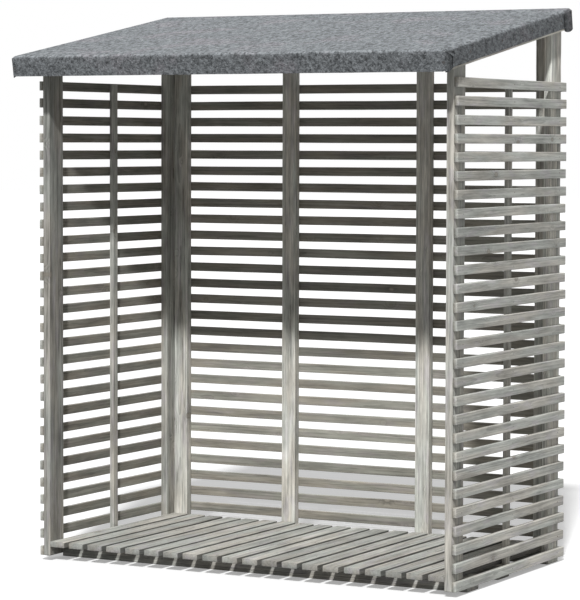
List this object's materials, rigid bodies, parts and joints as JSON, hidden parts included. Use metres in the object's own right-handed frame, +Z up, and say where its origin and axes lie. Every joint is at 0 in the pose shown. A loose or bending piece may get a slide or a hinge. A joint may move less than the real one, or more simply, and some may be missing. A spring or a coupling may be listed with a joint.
{
  "type": "log store",
  "caption": "Open-fronted timber log store with slatted sides, back and floor, and a felted lid roof sloping down to the front.",
  "frame": {"origin": "on the ground, in the middle of the overall plan", "axes": "+X to the right seen from the open front, +Y from the front to the rear, +Z up"},
  "size_m": [1.752, 1.1006, 2.0568],
  "materials": {
    "slat_timber": "grey-stained sawn softwood, weathered, matt",
    "frame_timber": "grey-stained planed softwood, matt",
    "floor_timber": "grey-stained sawn softwood, weathered, matt",
    "roof_timber": "sawn softwood, thin grey stain, matt",
    "mineral_felt": "bitumen felt with grey mineral granules, rough",
    "nail_metal": "galvanised nail heads, dull"
  },
  "bodies": {
    "root": {"front_post_left": "frame_timber", "front_post_right": "frame_timber", "rear_post_left": "frame_timber", "rear_post_right": "frame_timber", "middle_batten_left": "frame_timber", "middle_batten_right": "frame_timber", "side_slats_left": "slat_timber", "side_slats_right": "slat_timber", "rear_stud_left": "frame_timber", "rear_stud_inner_left": "frame_timber", "rear_stud_inner_right": "frame_timber", "rear_stud_right": "frame_timber", "rear_slats": "slat_timber", "floor_bearer_front": "frame_timber", "floor_bearer_middle": "frame_timber", "floor_bearer_rear": "frame_timber", "floor_slats": "floor_timber", "rafter_left": "roof_timber", "rafter_inner_left": "roof_timber", "rafter_inner_right": "roof_timber", "rafter_right": "roof_timber", "front_edge_board": "roof_timber", "rear_edge_board": "roof_timber", "verge_board_left": "roof_timber", "verge_board_right": "roof_timber", "deck_board_1": "roof_timber", "deck_board_2": "roof_timber", "deck_board_3": "roof_timber", "deck_board_4": "roof_timber", "deck_board_5": "roof_timber", "deck_board_6": "roof_timber", "deck_board_7": "roof_timber", "deck_board_8": "roof_timber", "deck_board_9": "roof_timber", "roof_felt": "mineral_felt"}
  },
  "joints": []
}
